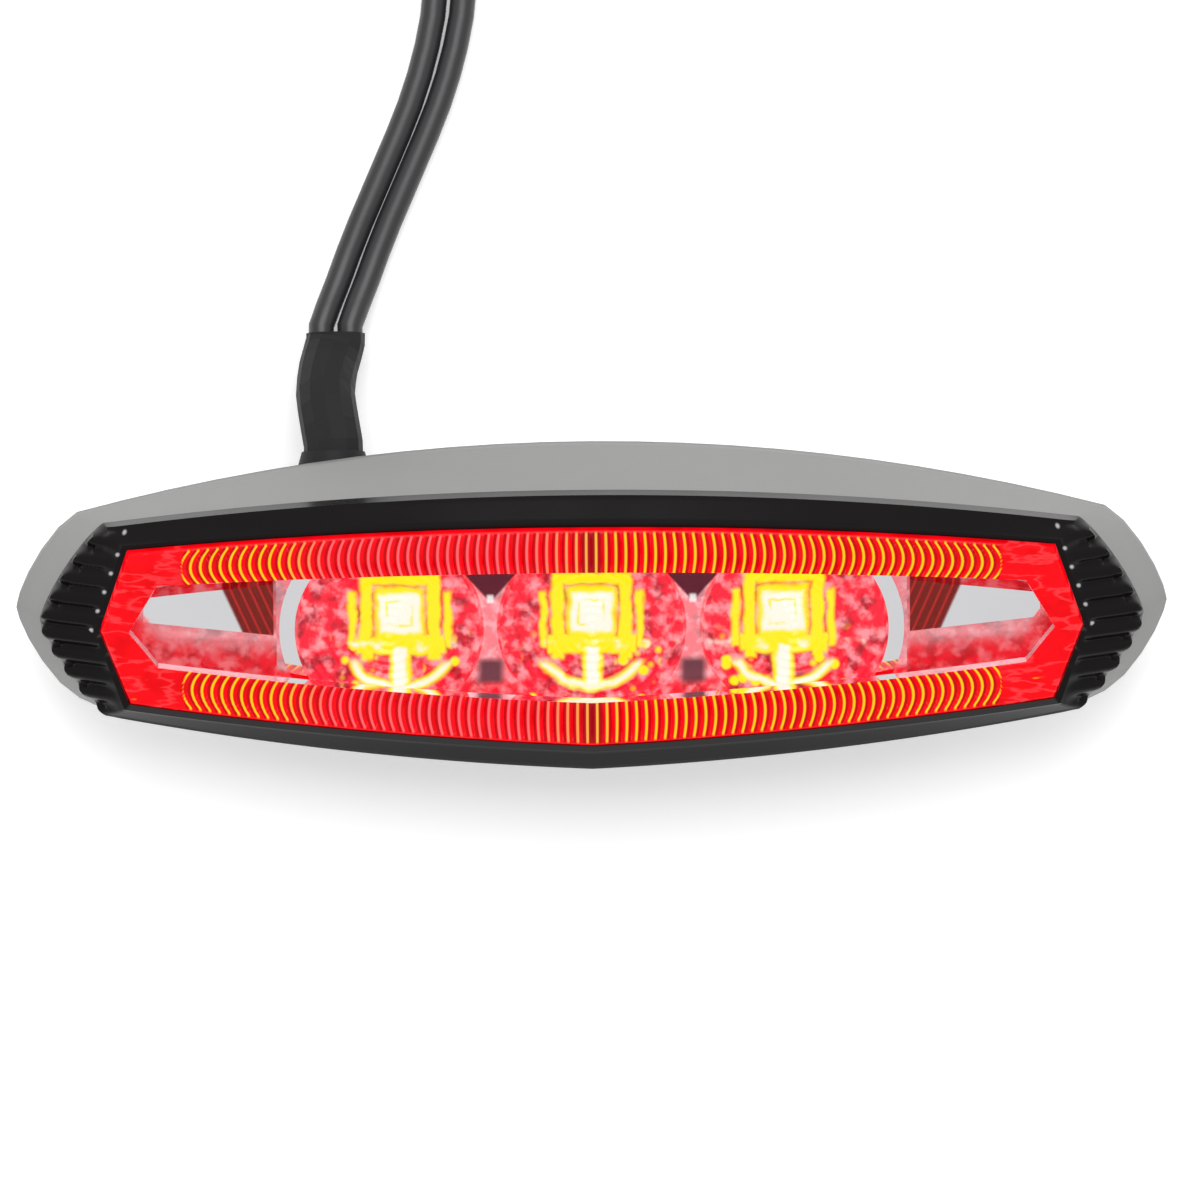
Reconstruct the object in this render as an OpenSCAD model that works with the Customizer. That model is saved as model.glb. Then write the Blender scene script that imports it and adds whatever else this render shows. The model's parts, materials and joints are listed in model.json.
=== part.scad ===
// Slim motorcycle LED tail light: a wedge housing lying on its flat mounting face,
// with the lens leaning towards -Y. X is the width, Z points away from the mounting face.

/* [Light] */
// Overall width across the rear rim
width = 116; // [100:1:140]
// Height of the rear rim at its middle
height = 33; // [30:0.5:42]
// Height of the rear rim at its corners
corner_height = 19; // [16:0.5:24]
// Lean of the lens from the mounting face, in degrees
lean = 18; // [10:1:22]
// Distance from the mounting face to the middle of the rim
rim_rise = 11; // [10:0.5:16]
// Radius of the curved front
front_r = 338; // [250:1:600]

/* [Levels above the rim plane] */
// Top of the lens at its middle
lens_top = 15; // [13.5:0.5:20]
// Thickness of the lens
lens_t = 2; // [1.5:0.1:3]
// Drop of the bezel's outer edge below the lens top
bezel_drop = 2; // [1:0.5:3]
// Level of the ledge that the lens and bezel sit on
ledge_w = 10.6; // [10.4:0.1:11.5]
// Thickness of the lens gasket
gasket_t = 0.6; // [0.4:0.1:1]

/* [Widths of the front bands] */
// Bezel width over and under the lens
bezel_band = 3; // [2:0.25:4]
// Bezel width at the ends
bezel_end = 6.3; // [5:0.1:9]
// Width of the fluted red bands
red_band = 4.45; // [3:0.05:6]
// Width of the red lens at the ends
red_end = 2.8; // [2:0.1:4]
// Wall of the lens skirt
skirt = 1.5; // [1:0.1:2]

/* [Back can] */
// Width of the back can
can_w = 76; // [70:1:84]
// Height of the back can
can_h = 22; // [21:1:26]
// Wall of the back can
wall = 2.2; // [1.6:0.1:3]
// Thickness of the back cover
cover_t = 2.5; // [2:0.25:4]
// Distance between the two mounting inserts
mount_pitch = 44; // [42:1:46]
// Thread radius of the mounting inserts, M5
thread_r = 2.5; // [2:0.5:3]
// Depth of the thread
thread_len = 8; // [6:0.5:9]

/* [Light source] */
// Distance between the light emitting diodes
led_pitch = 20.3; // [18:0.1:22]
// Radius of each clear optic
optic_r = 9.2; // [7:0.1:9.5]
// Side of a diode package
led_side = 5; // [3:0.5:5]
// Thickness of the circuit board
board_t = 1.6; // [1:0.2:2]
// Thickness of the heat spreader
spreader_t = 1; // [0.8:0.1:1.5]

/* [Lead] */
// Diameter of the rubber boot
boot_d = 6; // [5:0.1:7]
// Diameter of each wire
wire_d = 2.6; // [2:0.1:3]

/* [Hidden] */
$fn = 48;

fit = 0.15;                     // clearance between a piece and its seat
seat_gap = 0.08;                // gap between curved seats
black = [0.09, 0.09, 0.1];
chrome = [0.85, 0.86, 0.88];
lens_red = [0.85, 0.05, 0.06];
end_steps = 5;                  // points from a corner to a tip
mid_steps = 22;                 // points from corner to corner
half_steps = 2 * end_steps + mid_steps;
loop_size = 2 * half_steps;

// An outline is [tip, corner, top middle, top corner, bottom middle, bottom corner, V share,
// end fullness, end sharpness]; fullness and sharpness of 1 give straight ends
rim = [width / 2, width / 2 - 6.2, height / 2, corner_height / 2, height / 2, corner_height / 2,
    0.2, 1.3, 0.75];
bezel = [rim[0] - 2.5, rim[1] - 2.9, rim[2] - 2.3, rim[3] + 0.7, rim[4] - 2.3, rim[5] - 0.2,
    0.45, 1.2, 0.8];
lens = [bezel[0] - bezel_end, bezel[1] - bezel_band + 0.4, bezel[2] - bezel_band,
        bezel[3] - bezel_band + 1.1, bezel[4] - bezel_band, bezel[5] - bezel_band + 1.1, 0.6, 1, 1];
window = [lens[0] - red_end, lens[1] - red_end, lens[2] - red_band, lens[3] - red_band + 1.1,
          lens[4] - red_band, lens[5] - red_band + 0.6, 0.6, 1, 1];

function inset(o, d) = [o[0] - d, o[1] - d, o[2] - d, o[3] - d, o[4] - d, o[5] - d, o[6], o[7], o[8]];
function end_share(o, s) = pow(max(0, 1 - pow(s, o[7])), o[8]);
function arch(q, v) = v * abs(q) + (1 - v) * q * q;
function mid_q(j) = 1 - 2 * (j - end_steps) / mid_steps;
// Position j along an outline, from the +X tip to the -X tip
function pos_u(o, j) =
    j < end_steps ? o[1] + (o[0] - o[1]) * cos(90 * j / end_steps)
    : j > half_steps - end_steps ? -pos_u(o, half_steps - j)
    : o[1] * mid_q(j);
function end_s(j) = cos(90 * (j < end_steps ? j : half_steps - j) / end_steps);
function half_v(o, mid, corner, v, j) =
    j < end_steps || j > half_steps - end_steps ? corner * end_share(o, end_s(j))
    : mid - (mid - corner) * arch(mid_q(j), v);
function point(o, i) =
    i <= half_steps ? [pos_u(o, i), half_v(o, o[2], o[3], 0, i)]
    : [pos_u(o, loop_size - i), -half_v(o, o[4], o[5], o[6], loop_size - i)];
function outline(o) = [for (i = [0:loop_size - 1]) point(o, i)];
function sag(u) = front_r - sqrt(front_r * front_r - u * u);
function loop3(o, w, bend) = [for (p = outline(o)) [p[0], p[1], w - bend * sag(p[0])]];

// Ring whose cross-section goes through the given loops, closed on itself
module ring(loops) {
    n = loop_size;
    k = len(loops);
    polyhedron(points = [for (l = loops) each l],
        faces = [for (a = [0:k - 1]) for (i = [0:n - 1])
            let (b = (a + 1) % k, j = (i + 1) % n)
            each [[a * n + i, b * n + i, b * n + j], [a * n + i, b * n + j, a * n + j]]]);
}

// Solid plug between a bottom and a top loop, capped by strips
module plug(bottom, top) {
    n = loop_size;
    h = half_steps;
    function cap(at, top_side) = [for (j = [0:h - 1])
        let (a = at + j, b = at + j + 1, c = at + (n - j) % n, d = at + n - j - 1)
        each concat(j == 0 ? [] : [top_side ? [a, c, b] : [a, b, c]],
                    j == h - 1 ? [] : [top_side ? [b, c, d] : [b, d, c]])];
    polyhedron(points = concat(bottom, top),
        faces = concat(cap(0, false), cap(n, true),
            [for (i = [0:n - 1]) let (j = (i + 1) % n)
                each [[i, n + i, n + j], [i, n + j, j]]]));
}

module in_lens() translate([0, 0, rim_rise]) rotate([lean, 0, 0]) children();
module flat_plate(o, w, t) translate([0, 0, w]) linear_extrude(t) polygon(outline(o));
module rounded_block(w, h, z0, z1, r)
    translate([0, 0, z0]) linear_extrude(z1 - z0) union() {
        square([w - 2 * r, h], center = true);
        square([w, h - 2 * r], center = true);
        for (x = [-1, 1], y = [-1, 1]) translate([x * (w / 2 - r), y * (h / 2 - r)]) circle(r);
    }
module below_rim(w = 1) in_lens() translate([-width, -width, w - 4 * rim_rise])
    cube([2 * width, 2 * width, 4 * rim_rise]);

plate_t = 2;                    // shoulder plate between rim and can
skirt_w = ledge_w + gasket_t + seat_gap;
flare_wall = 3;
seal_t = 1;
seal_w = 1.6;
ledge_z = cover_t + seal_t;
ledge_t = 1.5;
inner_w = can_w - 2 * wall;
inner_h = can_h - 2 * wall;
can_r = 6;
boss_r = 5;
insert_r = 3.5;
boss_top = thread_len + 0.1;
rib_top = 6;
rib_t = 2;
post_r = 2.7;
post_x = inner_w / 2 - seal_w - 1.4;
post_y = inner_h / 2 - seal_w - 1.3;
cover_screw_r = 1.1;
cover_screw_len = 8;
head_r = 2.1;
head_t = 1.3;
board_screw_u = inner_w / 2 - 0.3;
board_screw_v = -5.6;
board_screw_r = 1.1;
board_post_r = 3;
board_post_len = 6.5;
cable_x = -26;
cable_z = 9.2;
grommet_neck_r = 3.6;
vent_x = 6;
vent_r = 1.6;
spreader_w = plate_t;
board_w = spreader_w + spreader_t;
tray_w = board_w + board_t;
tray_floor = 1.4;
screw_pocket = 1.15;
board_head_t = 1;
tray_top = ledge_w - 0.3;
bowl_r = optic_r + 0.3;
bowl_floor_r = 4.9;
bowl_flat = inset(lens, skirt)[2] - 2.15;
tray_line = inset(lens, skirt + 0.2);
clip_t = 1.5;
block_u = led_pitch + bowl_r + clip_t + 0.3;
wing_in = block_u + 0.3;
wing_out = tray_line[1] + 0.4;
led_h = 0.9;
dome_r = 1.7;
optic_base = tray_w + led_h + 0.4;
optic_top = tray_top + 0.9;
pin_gap = 2.54;

module screw(r, len, hr, ht) {
    cylinder(r = r, h = len);
    translate([0, 0, -ht]) difference() {
        cylinder(r = hr, h = ht);
        for (a = [0, 90]) rotate([0, 0, a])
            translate([-hr * 0.6, -0.25, -0.01]) cube([hr * 1.2, 0.5, 0.6]);
    }
}

module rear_housing() color(black) difference() {
    union() {
        in_lens() ring([loop3(rim, 0, 0), loop3(rim, 1.5, 0), loop3(bezel, ledge_w, 1),
            loop3(inset(lens, skirt), ledge_w, 1), loop3(inset(rim, flare_wall), plate_t, 0),
            loop3(inset(rim, flare_wall), 0, 0)]);
        difference() {
            in_lens() flat_plate(inset(rim, flare_wall - 0.5), 0, plate_t);
            rounded_block(inner_w, inner_h, -1, 3 * rim_rise, can_r - wall);
        }
        intersection() {
            union() {
                difference() {
                    rounded_block(can_w, can_h, 0, 3 * rim_rise, can_r);
                    rounded_block(inner_w, inner_h, -1, 4 * rim_rise, can_r - wall);
                }
                difference() {
                    rounded_block(inner_w + 0.2, inner_h + 0.2, ledge_z, ledge_z + ledge_t, can_r - wall);
                    rounded_block(inner_w - 2 * seal_w, inner_h - 2 * seal_w, 0, rim_rise,
                        can_r - wall - seal_w);
                }
                for (x = [-1, 1]) {
                    translate([x * mount_pitch / 2, 0, 0]) cylinder(r = boss_r, h = boss_top);
                    translate([x * mount_pitch / 2 - rib_t / 2, -inner_h / 2 - 0.1, ledge_z])
                        cube([rib_t, inner_h + 0.2, rib_top - ledge_z]);
                    for (y = [-1, 1]) translate([x * post_x, y * post_y, ledge_z])
                        cylinder(r = post_r, h = 3 * rim_rise);
                }
            }
            below_rim(plate_t - 0.1);
        }
        in_lens() for (x = [-1, 1])
            translate([x * board_screw_u, board_screw_v, plate_t - board_post_len])
                cylinder(r = board_post_r, h = board_post_len);
    }
    for (x = [-1, 1]) {
        translate([x * mount_pitch / 2, 0, -1]) cylinder(r = insert_r, h = thread_len + 1);
        for (y = [-1, 1]) translate([x * post_x, y * post_y, -1])
            cylinder(r = cover_screw_r, h = cover_screw_len + 2);
        in_lens() translate([x * board_screw_u, board_screw_v, -3.2]) cylinder(r = board_screw_r, h = 8);
    }
    translate([cable_x, can_h / 2 - wall - 1, cable_z]) rotate([-90, 0, 0])
        cylinder(r = grommet_neck_r, h = wall + 2);
}

module back_cover() color(black) difference() {
    rounded_block(inner_w - 2 * fit, inner_h - 2 * fit, 0, cover_t, can_r - wall);
    for (x = [-1, 1]) {
        translate([x * mount_pitch / 2, 0, -1]) cylinder(r = boss_r + fit, h = cover_t + 2);
        for (y = [-1, 1]) translate([x * post_x, y * post_y, -1]) {
            cylinder(r = cover_screw_r + 0.2, h = cover_t + 2);
            cylinder(r = head_r + 0.2, h = head_t + 1.1);
        }
    }
    translate([vent_x, 0, -1]) cylinder(r = vent_r, h = cover_t + 2);
}

module back_seal() color([0.16, 0.16, 0.16]) difference() {
    rounded_block(inner_w - 2 * fit, inner_h - 2 * fit, cover_t, ledge_z, can_r - wall);
    rounded_block(inner_w - 2 * seal_w, inner_h - 2 * seal_w, 0, rim_rise, can_r - wall - seal_w);
}

module cover_screws() color("silver") for (x = [-1, 1], y = [-1, 1])
    translate([x * post_x, y * post_y, head_t + 0.1])
        screw(cover_screw_r, cover_screw_len - 1, head_r, head_t);

module mount_insert(side) color([0.78, 0.6, 0.28]) translate([side * mount_pitch / 2, 0, 0])
    difference() {
        cylinder(r = insert_r, h = thread_len);
        translate([0, 0, -1]) cylinder(r = thread_r, h = thread_len + 2);
    }

module front_bezel() color([0.05, 0.05, 0.06]) in_lens()
    ring([loop3(bezel, ledge_w + seat_gap, 1), loop3(bezel, lens_top - bezel_drop, 1),
        loop3(inset(lens, -fit - 0.5), lens_top - 0.2, 1), loop3(inset(lens, -fit), lens_top - 0.3, 1),
        loop3(inset(lens, -fit), ledge_w + seat_gap, 1)]);

module lens_gasket() color([0.16, 0.16, 0.16]) in_lens()
    ring([for (s = [[0, seat_gap], [0, gasket_t], [skirt - fit, gasket_t], [skirt - fit, seat_gap]])
        loop3(inset(lens, s[0]), ledge_w + s[1], 1)]);

module red_lens() color(lens_red) in_lens()
    ring([loop3(lens, skirt_w, 1), loop3(lens, lens_top - 0.3, 1),
        loop3(inset(lens, 0.4), lens_top, 1), loop3(window, lens_top, 1),
        loop3(window, lens_top - lens_t, 1), loop3(inset(lens, skirt), lens_top - lens_t, 1),
        loop3(inset(lens, skirt), skirt_w, 1)]);

module clear_window() color([0.9, 0.9, 0.92, 0.4]) in_lens()
    plug(loop3(inset(window, 0.02), lens_top - lens_t, 1), loop3(inset(window, 0.02), lens_top, 1));

module reflector() color(chrome) in_lens() difference() {
    union() {
        flat_plate(tray_line, tray_w, tray_floor);
        intersection() {
            flat_plate(tray_line, tray_w, tray_top - tray_w);
            translate([-block_u, -height, 0]) cube([2 * block_u, 2 * height, 2 * tray_top]);
        }
    }
    for (i = [-1:1]) translate([i * led_pitch, 0, tray_w]) intersection() {
        translate([0, 0, -0.01]) cylinder(r1 = bowl_floor_r, r2 = bowl_r, h = tray_top - tray_w + 0.02);
        translate([-20, -bowl_flat, -1]) cube([40, 2 * bowl_flat, 20]);
    }
    for (x = [-1, 1]) translate([x * board_screw_u, board_screw_v, 0])
        cylinder(r = head_r + 0.3, h = tray_w + screw_pocket);
}

// Chrome wedge that narrows towards the end of the lens
module wing(side) color(chrome) in_lens() {
    z0 = tray_w + tray_floor;
    translate([0, 0, z0]) mirror([side < 0 ? 1 : 0, 0, 0])
        polyhedron(points = [[wing_in, -1.4, 0], [wing_in, 4.9, 0], [wing_in, 4.5, 4], [wing_in, -0.8, 4],
                [wing_out, -0.3, 0], [wing_out, 3, 0], [wing_out, 2.6, 2], [wing_out, 0.1, 2]],
            faces = [[0, 3, 2], [0, 2, 1], [4, 5, 6], [4, 6, 7], [0, 1, 5], [0, 5, 4],
                [1, 2, 6], [1, 6, 5], [2, 3, 7], [2, 7, 6], [3, 0, 4], [3, 4, 7]]);
}

// Curved chrome clip that holds the outer optic
module bracket(side) color(chrome) in_lens() translate([side * led_pitch, 0, tray_top])
    rotate([0, 0, side > 0 ? -42 : 138]) rotate_extrude(angle = 84)
        polygon([[bowl_r - 0.05, 0], [bowl_r + clip_t, 0], [bowl_r + clip_t, 0.7], [bowl_r - 0.05, 1.1]]);

module optic(i) color([0.95, 0.95, 0.97, 0.5]) in_lens() translate([i * led_pitch, 0, 0]) intersection() {
    difference() {
        union() {
            translate([0, 0, optic_base]) cylinder(r1 = 4, r2 = optic_r - 0.4, h = tray_top - optic_base);
            translate([0, 0, tray_top]) cylinder(r = optic_r, h = optic_top - tray_top);
        }
        translate([0, 0, optic_base - 0.01]) cylinder(r = dome_r + 0.5, h = dome_r + 0.8);
    }
    translate([-20, -bowl_flat + 0.3, 0]) cube([40, 2 * bowl_flat - 0.6, 20]);
}

module led(i) color([0.95, 0.9, 0.6]) in_lens() translate([i * led_pitch, 0, tray_w]) {
    translate([-led_side / 2, -led_side / 2, 0]) cube([led_side, led_side, led_h]);
    translate([0, 0, led_h]) intersection() {
        sphere(r = dome_r);
        cylinder(r = dome_r, h = dome_r);
    }
}

module led_board() color([0.9, 0.9, 0.88]) in_lens() difference() {
    flat_plate(inset(tray_line, 0.1), board_w, board_t);
    for (x = [-1, 1]) translate([x * board_screw_u, board_screw_v, 0])
        cylinder(r = board_screw_r + 0.1, h = 2 * board_w);
}

module heat_spreader() color([0.7, 0.71, 0.73]) in_lens() difference() {
    flat_plate(inset(rim, flare_wall + 2), spreader_w, spreader_t);
    for (x = [-1, 1]) translate([x * board_screw_u, board_screw_v, 0])
        cylinder(r = board_screw_r + 0.1, h = 2 * board_w);
    translate([10, -6, 0]) cube([3 * pin_gap, 3, 2 * board_w]);
}

module board_screws() color("silver") in_lens() for (x = [-1, 1])
    translate([x * board_screw_u, board_screw_v, tray_w]) mirror([0, 0, 1])
        screw(board_screw_r, tray_w + 2.6, head_r, board_head_t);

driver_w = mount_pitch - 2 * boss_r - 1;
driver_h = inner_h - 0.6;
driver_z = ledge_z + ledge_t;
driver_t = 1.2;
part_z = driver_z + driver_t;

module driver_board() color([0.1, 0.35, 0.18])
    translate([-driver_w / 2, -driver_h / 2, driver_z]) cube([driver_w, driver_h, driver_t]);

module resistors() color([0.75, 0.65, 0.45]) for (i = [0:3])
    translate([-2 + 3.2 * i, 3, part_z + 0.9]) rotate([-90, 0, 0]) cylinder(r = 0.9, h = 5);

module diodes() color([0.12, 0.12, 0.12]) for (i = [0:1])
    translate([-9 + 3.5 * i, 3, part_z + 1]) rotate([-90, 0, 0]) cylinder(r = 1, h = 4.2);

module regulator() color([0.14, 0.14, 0.15]) translate([-13, -6.5, part_z]) {
    cube([6.5, 6, 2.2]);
    translate([0.5, 5.9, 0]) cube([5.5, 2, 0.6]);
}

module capacitor() color([0.75, 0.75, 0.78]) translate([-1, -5.6, part_z]) cylinder(r = 2, h = 2.6);

module link_pins() color([0.85, 0.75, 0.35]) intersection() {
    for (i = [0:1]) translate([10 + pin_gap * (i + 1), -5.5, part_z]) cylinder(r = 0.4, h = 2 * rim_rise);
    below_rim(board_w);
}

module breather_plug() color([0.3, 0.3, 0.32]) translate([vent_x, 0, 0.3])
    cylinder(r = vent_r, h = cover_t - 0.3);

// Tube swept along route points, with the tube's sides kept upright
function along(p, i) = let (a = p[max(0, i - 1)], b = p[min(len(p) - 1, i + 1)], d = b - a) d / norm(d);
function side_of(d) = let (s = [d[1], -d[0], 0]) s / norm(s);
module tube(p, r, sides) {
    m = len(p);
    polyhedron(points = [for (i = [0:m - 1]) let (d = along(p, i), s = side_of(d), t = cross(s, d))
            for (k = [0:sides - 1]) p[i] + r[i] * (cos(360 * k / sides) * s + sin(360 * k / sides) * t)],
        faces = concat([[for (k = [0:sides - 1]) k]],
            [[for (k = [0:sides - 1]) m * sides - 1 - k]],
            [for (i = [0:m - 2]) for (k = [0:sides - 1]) let (a = i * sides, j = (k + 1) % sides)
                each [[a + k, a + sides + k, a + sides + j], [a + k, a + sides + j, a + j]]]));
}
function same(n, r) = [for (i = [1:n]) r];
function shift(p, dx, dz) = [for (q = p) q + [dx, 0, dz]];

grommet_len = 4.2;
boot_route = [[-26, 15.2, 9.2], [-26, 16, 9.2], [-26.3, 17.8, 8.9], [-26.6, 19.6, 8.2], [-26.8, 21.2, 7.2],
              [-26.7, 22.7, 6.1], [-26.5, 24.1, 5], [-26.1, 25.6, 4.1], [-25.8, 26.8, 3.8],
    [-25.8, 27.6, 3.8]];
wire_route = [[-25.8, 27.6, 3], [-25.8, 28.4, 3], [-25.1, 30.4, 2.4], [-24.1, 33, 1.6], [-23, 36, 1.4],
    [-21.8, 39, 1.4],
              [-20.5, 42, 1.4], [-19.2, 45, 1.4], [-17.9, 48, 1.4], [-16.7, 51, 1.4], [-15.7, 54, 1.4],
              [-14.9, 57, 1.4], [-14.3, 60, 1.4], [-13.9, 64, 1.4], [-13.7, 68, 1.4], [-13.7, 72, 1.4],
              [-13.8, 77, 1.4], [-14, 82, 1.4], [-14.2, 88, 1.4], [-14.3, 94, 1.4], [-14.3, 99, 1.5],
              [-14.2, 104, 1.8], [-14.2, 106, 1.8]];
wire_gap = wire_d / 2 + 0.15;

module inner_leads() color(black) for (s = [-1, 1])
    tube([[cable_x + 1.3 * s, 6, cable_z], [cable_x + 0.7 + 1.1 * s, 4.8 + 0.4 * s, 9.4],
        [-22.5 + 0.7 * s, 2.6 + 0.9 * s, 9.4], [-18.6 + 0.6 * s, 0.4 + 0.9 * s, 9.3],
        [-15.6 + 0.6 * s, -1 + 0.9 * s, 8.3], [-14.6 + 0.6 * s, -2 + 0.9 * s, part_z + 0.9]],
        same(6, 0.8), 8);

module cable_grommet() color([0.12, 0.12, 0.12]) translate([cable_x, 0, cable_z]) rotate([-90, 0, 0]) {
    translate([0, 0, can_h / 2 - wall - 1.2]) cylinder(r = 3.9, h = 1.2);
    translate([0, 0, can_h / 2 - wall - 0.1]) cylinder(r = grommet_neck_r, h = wall + 0.2);
    translate([0, 0, can_h / 2]) cylinder(r1 = 4.4, r2 = boot_d / 2 + 0.2, h = grommet_len);
    translate([0, 0, can_h / 2 - wall - 2.6]) cylinder(r = 2.9, h = 1.6);
}

module cable_boot() color(black) tube(boot_route, same(len(boot_route), boot_d / 2), 12);
module wire(side) color(black)
    tube(shift(wire_route, side * wire_gap, 0), same(len(wire_route), wire_d / 2), 8);

terminal_y = 106;
terminal_x = -14.2;
module on_wire(side) translate([terminal_x + side * (wire_gap + 0.35), terminal_y, 1.8])
    rotate([-90, 0, 0]) children();
module terminal_sleeve(side) color([0.2, 0.2, 0.22]) on_wire(side) cylinder(r = 1.75, h = 11);
module terminal(side) color([0.8, 0.75, 0.6]) on_wire(side) translate([0, 0, 11]) {
    cylinder(r = 1.3, h = 2);
    translate([0, 0, 2]) cylinder(r = 1.7, h = 3.4);
    translate([0, 0, 5.4]) cylinder(r1 = 1.7, r2 = 0.8, h = 1.4);
}

rear_housing();
back_cover();
back_seal();
cover_screws();
mount_insert(-1);  // mount_insert_left
mount_insert(1);  // mount_insert_right
front_bezel();
lens_gasket();
red_lens();
clear_window();
reflector();
wing(-1);  // wing_left
wing(1);  // wing_right
bracket(-1);  // bracket_left
bracket(1);  // bracket_right
optic(-1);  // optic_left
optic(0);  // optic_centre
optic(1);  // optic_right
led(-1);  // led_left
led(0);  // led_centre
led(1);  // led_right
led_board();
heat_spreader();
board_screws();
driver_board();
resistors();
diodes();
regulator();
capacitor();
link_pins();
inner_leads();
breather_plug();
cable_grommet();
cable_boot();
wire(-1);  // wire_supply
wire(1);  // wire_ground
terminal(-1);  // terminal_supply
terminal(1);  // terminal_ground
terminal_sleeve(-1);  // terminal_sleeve_supply
terminal_sleeve(1);  // terminal_sleeve_ground
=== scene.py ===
import bpy, bmesh, json, math
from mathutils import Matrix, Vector


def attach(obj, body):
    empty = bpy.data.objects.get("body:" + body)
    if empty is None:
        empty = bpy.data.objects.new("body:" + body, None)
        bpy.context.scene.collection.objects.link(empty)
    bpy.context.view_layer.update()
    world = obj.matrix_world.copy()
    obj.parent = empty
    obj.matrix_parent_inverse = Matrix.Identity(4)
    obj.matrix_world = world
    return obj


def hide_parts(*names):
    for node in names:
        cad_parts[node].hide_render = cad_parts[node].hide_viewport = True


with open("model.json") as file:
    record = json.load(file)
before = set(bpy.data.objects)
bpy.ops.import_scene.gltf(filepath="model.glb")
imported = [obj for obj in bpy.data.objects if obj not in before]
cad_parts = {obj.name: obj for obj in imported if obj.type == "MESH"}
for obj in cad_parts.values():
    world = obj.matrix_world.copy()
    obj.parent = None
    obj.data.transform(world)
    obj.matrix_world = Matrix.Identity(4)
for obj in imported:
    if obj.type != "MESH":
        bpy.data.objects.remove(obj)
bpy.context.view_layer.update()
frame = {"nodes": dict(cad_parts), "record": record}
print("stage: frame loaded")

mm = 0.001
body = "root"
frontShape = {  # the light's driving sizes, in mm
    "width": 116, "height": 33, "cornerHeight": 19, "lean": 18, "rise": 11, "frontRadius": 338,
    "lensTop": 15, "lensThick": 2, "bezelDrop": 2, "ledge": 10.6, "gasket": 0.68, "skirt": 1.5,
    "bezelBand": 3, "bezelEnd": 6.3, "redBand": 4.45, "redEnd": 2.8, "ledPitch": 20.3, "opticRadius": 9.2,
}
f = frontShape
leanAngle = math.radians(f["lean"])


def lensPoint(u, v, w):  # lens frame in mm to the row frame in metres
    c, s = math.cos(leanAngle), math.sin(leanAngle)
    return Vector((u, v * c - w * s, f["rise"] + v * s + w * c)) * mm


# ---- camera, and the area light helper
view = {"distance": 1.5, "elevation": 87, "target": (0.0003, -0.0008, 0.025), "frameWidth": 0.12,
        "roll": -0.4}


def makeCamera():
    up = math.radians(90 - view["elevation"])
    target = Vector(view["target"])
    bpy.ops.object.camera_add(location=target + view["distance"] * Vector((0, -math.sin(up), math.cos(up))),
                              rotation=(up, 0, math.radians(view["roll"])))
    camera = bpy.context.object
    camera.data.sensor_width = 36
    camera.data.lens = 36 * view["distance"] / view["frameWidth"]
    camera.data.clip_start = 0.01
    bpy.context.scene.camera = camera


def areaLight(name, place, turn, size, power):
    bpy.ops.object.light_add(type="AREA", location=place, rotation=turn)
    lamp = bpy.context.object
    lamp.name = name
    lamp.data.size = size
    lamp.data.energy = power


makeCamera()

# ---- cords: the route repeats the one the housing was built with
cordFacts = {"wireWide": 2.6, "gap": 0.15}
wireRoute = [(-25.8, 27.6, 3), (-25.8, 28.4, 3), (-25.1, 30.4, 2.4), (-24.1, 33, 1.6), (-23, 36, 1.4),
             (-21.8, 39, 1.4), (-20.5, 42, 1.4), (-19.2, 45, 1.4), (-17.9, 48, 1.4), (-16.7, 51, 1.4),
             (-15.7, 54, 1.4), (-14.9, 57, 1.4), (-14.3, 60, 1.4), (-13.9, 64, 1.4), (-13.7, 68, 1.4),
             (-13.7, 72, 1.4), (-13.8, 77, 1.4), (-14, 82, 1.4), (-14.2, 88, 1.4), (-14.3, 94, 1.4),
             (-14.3, 99, 1.5), (-14.2, 104, 1.8), (-14.2, 106, 1.8)]


def makeWire(name, side):
    shift = side * (cordFacts["wireWide"] / 2 + cordFacts["gap"])
    line = bpy.data.curves.new(name, "CURVE")
    line.dimensions = "3D"
    line.bevel_depth = 1  # each point's radius gives the size, and the curve's box counts it
    line.bevel_resolution = 5
    line.use_fill_caps = True
    spline = line.splines.new("POLY")
    spline.points.add(len(wireRoute) - 1)
    places = [Vector((x + shift, y, z)) * mm for x, y, z in wireRoute]
    for point, place in zip(spline.points, places):
        point.co = (*place, 1)
        point.radius = cordFacts["wireWide"] / 2 * mm
    spline.use_smooth = True
    wire = bpy.data.objects.new(name, line)
    bpy.context.collection.objects.link(wire)
    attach(wire, body)
    length = sum((b - a).length for a, b in zip(places, places[1:]))
    return wire, places[0], length


wires = {}
for wireName, side in (("supply", -1), ("ground", 1)):
    wire, start, length = makeWire("lead_" + wireName, side)
    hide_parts("wire_" + wireName)
    wires[wireName] = wire
print("stage: camera and cords made")


# ---- outlines, as [tip, corner, top middle, top corner, bottom middle, bottom corner, v share,
# end fullness, end sharpness]
endSteps, midSteps = 5, 22
halfSteps = 2 * endSteps + midSteps


def inset(shape, by):
    return [x - by for x in shape[:6]] + shape[6:]


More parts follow.
